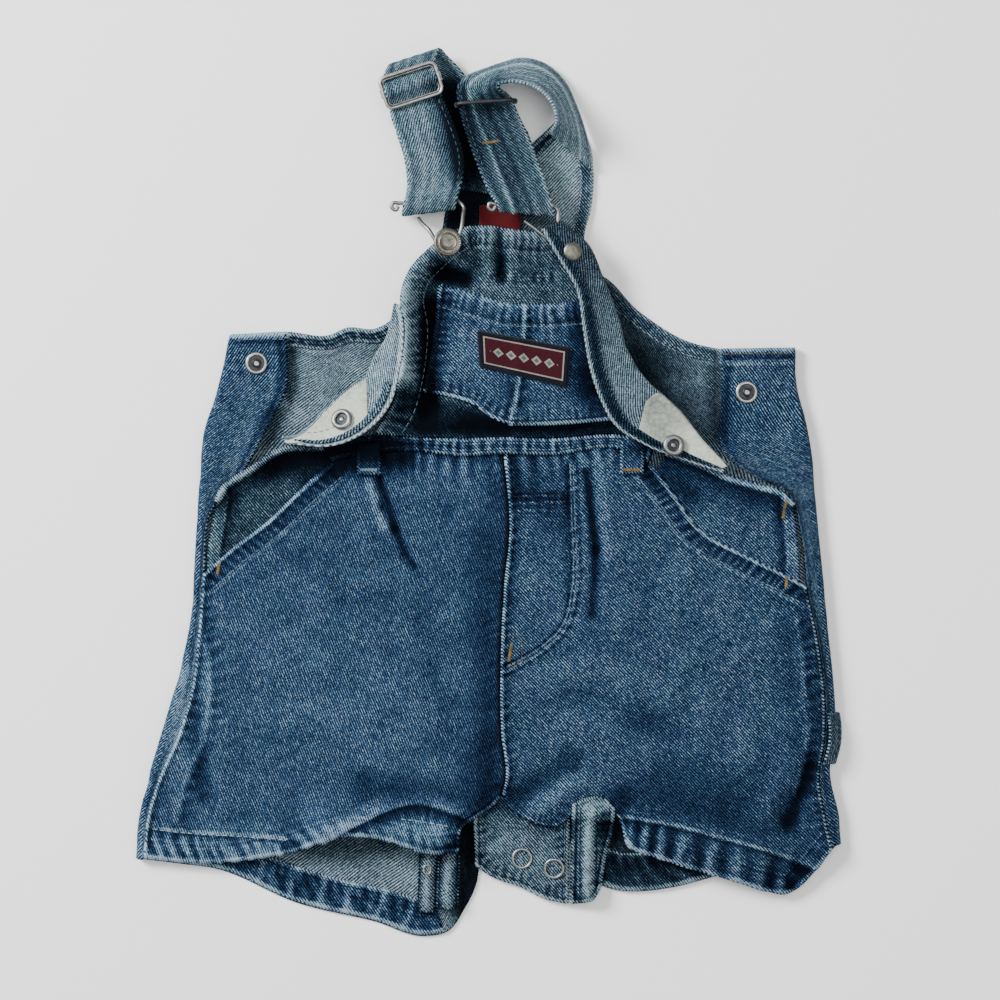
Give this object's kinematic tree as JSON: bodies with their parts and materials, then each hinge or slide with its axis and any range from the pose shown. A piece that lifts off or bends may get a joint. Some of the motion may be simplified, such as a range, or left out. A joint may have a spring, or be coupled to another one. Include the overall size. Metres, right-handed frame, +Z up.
{
  "type": "baby denim shortalls",
  "caption": "Baby's denim shortalls laid flat with the sides unsnapped, wings folded in, bib with gathered pocket, hooked straps and snap plackets at the legs.",
  "frame": {"origin": "on the table, under the middle of the garment's box", "axes": "+Y from the leg hems up to the straps, +X towards the wearer's left side, +Z up from the table"},
  "size_m": [0.3539, 0.444, 0.0289],
  "materials": {
    "denim_face": "stone-washed indigo denim, right side, twill weave with pale worn seams",
    "denim_inside": "wrong side of the same denim, pale grey-blue",
    "pocket_cotton": "cream cotton pocketing",
    "patch_weave": null,
    "neck_tab": "plain red woven tab",
    "aged_metal": "aged silver-grey plated metal"
  },
  "bodies": {
    "root": {"back_left": "denim_face", "back_right": "denim_face", "back_hem_left": "denim_face", "back_hem_right": "denim_face", "armhole_hem_left": "denim_face", "armhole_hem_right": "denim_face", "neck_hem": "denim_face", "front_left": "denim_face", "front_right": "denim_face", "pocket_facing_left": "denim_face", "pocket_facing_right": "denim_face", "waistband": "denim_face", "belt_loop_left": "denim_face", "belt_loop_right": "denim_face", "bib": "denim_face", "bib_pocket_left": "denim_face", "bib_pocket_right": "denim_face", "wing_hem_left": "denim_face", "wing_hem_right": "denim_face", "crotch_placket": "denim_face", "crotch_placket_under": "denim_face", "leg_placket_upper": "denim_face", "leg_placket_under": "denim_face", "tool_loop": "denim_face", "strap_left": "denim_face", "strap_right": "denim_face", "back_yoke": "denim_inside", "wing_left": "denim_inside", "wing_right": "denim_inside", "pocketing_left": "pocket_cotton", "pocketing_right": "pocket_cotton", "pocket_patch": "patch_weave", "neck_tab": "neck_tab", "hook_left": "aged_metal", "hook_right": "aged_metal", "slider_left": "aged_metal", "slider_right": "aged_metal", "bib_button_left": "aged_metal", "bib_button_right": "aged_metal", "button_rivet": "aged_metal", "snap_socket_left": "aged_metal", "snap_socket_right": "aged_metal", "snap_stud_left": "aged_metal", "snap_stud_right": "aged_metal", "ring_snap_inner": "aged_metal", "ring_snap_outer": "aged_metal"}
  },
  "joints": []
}
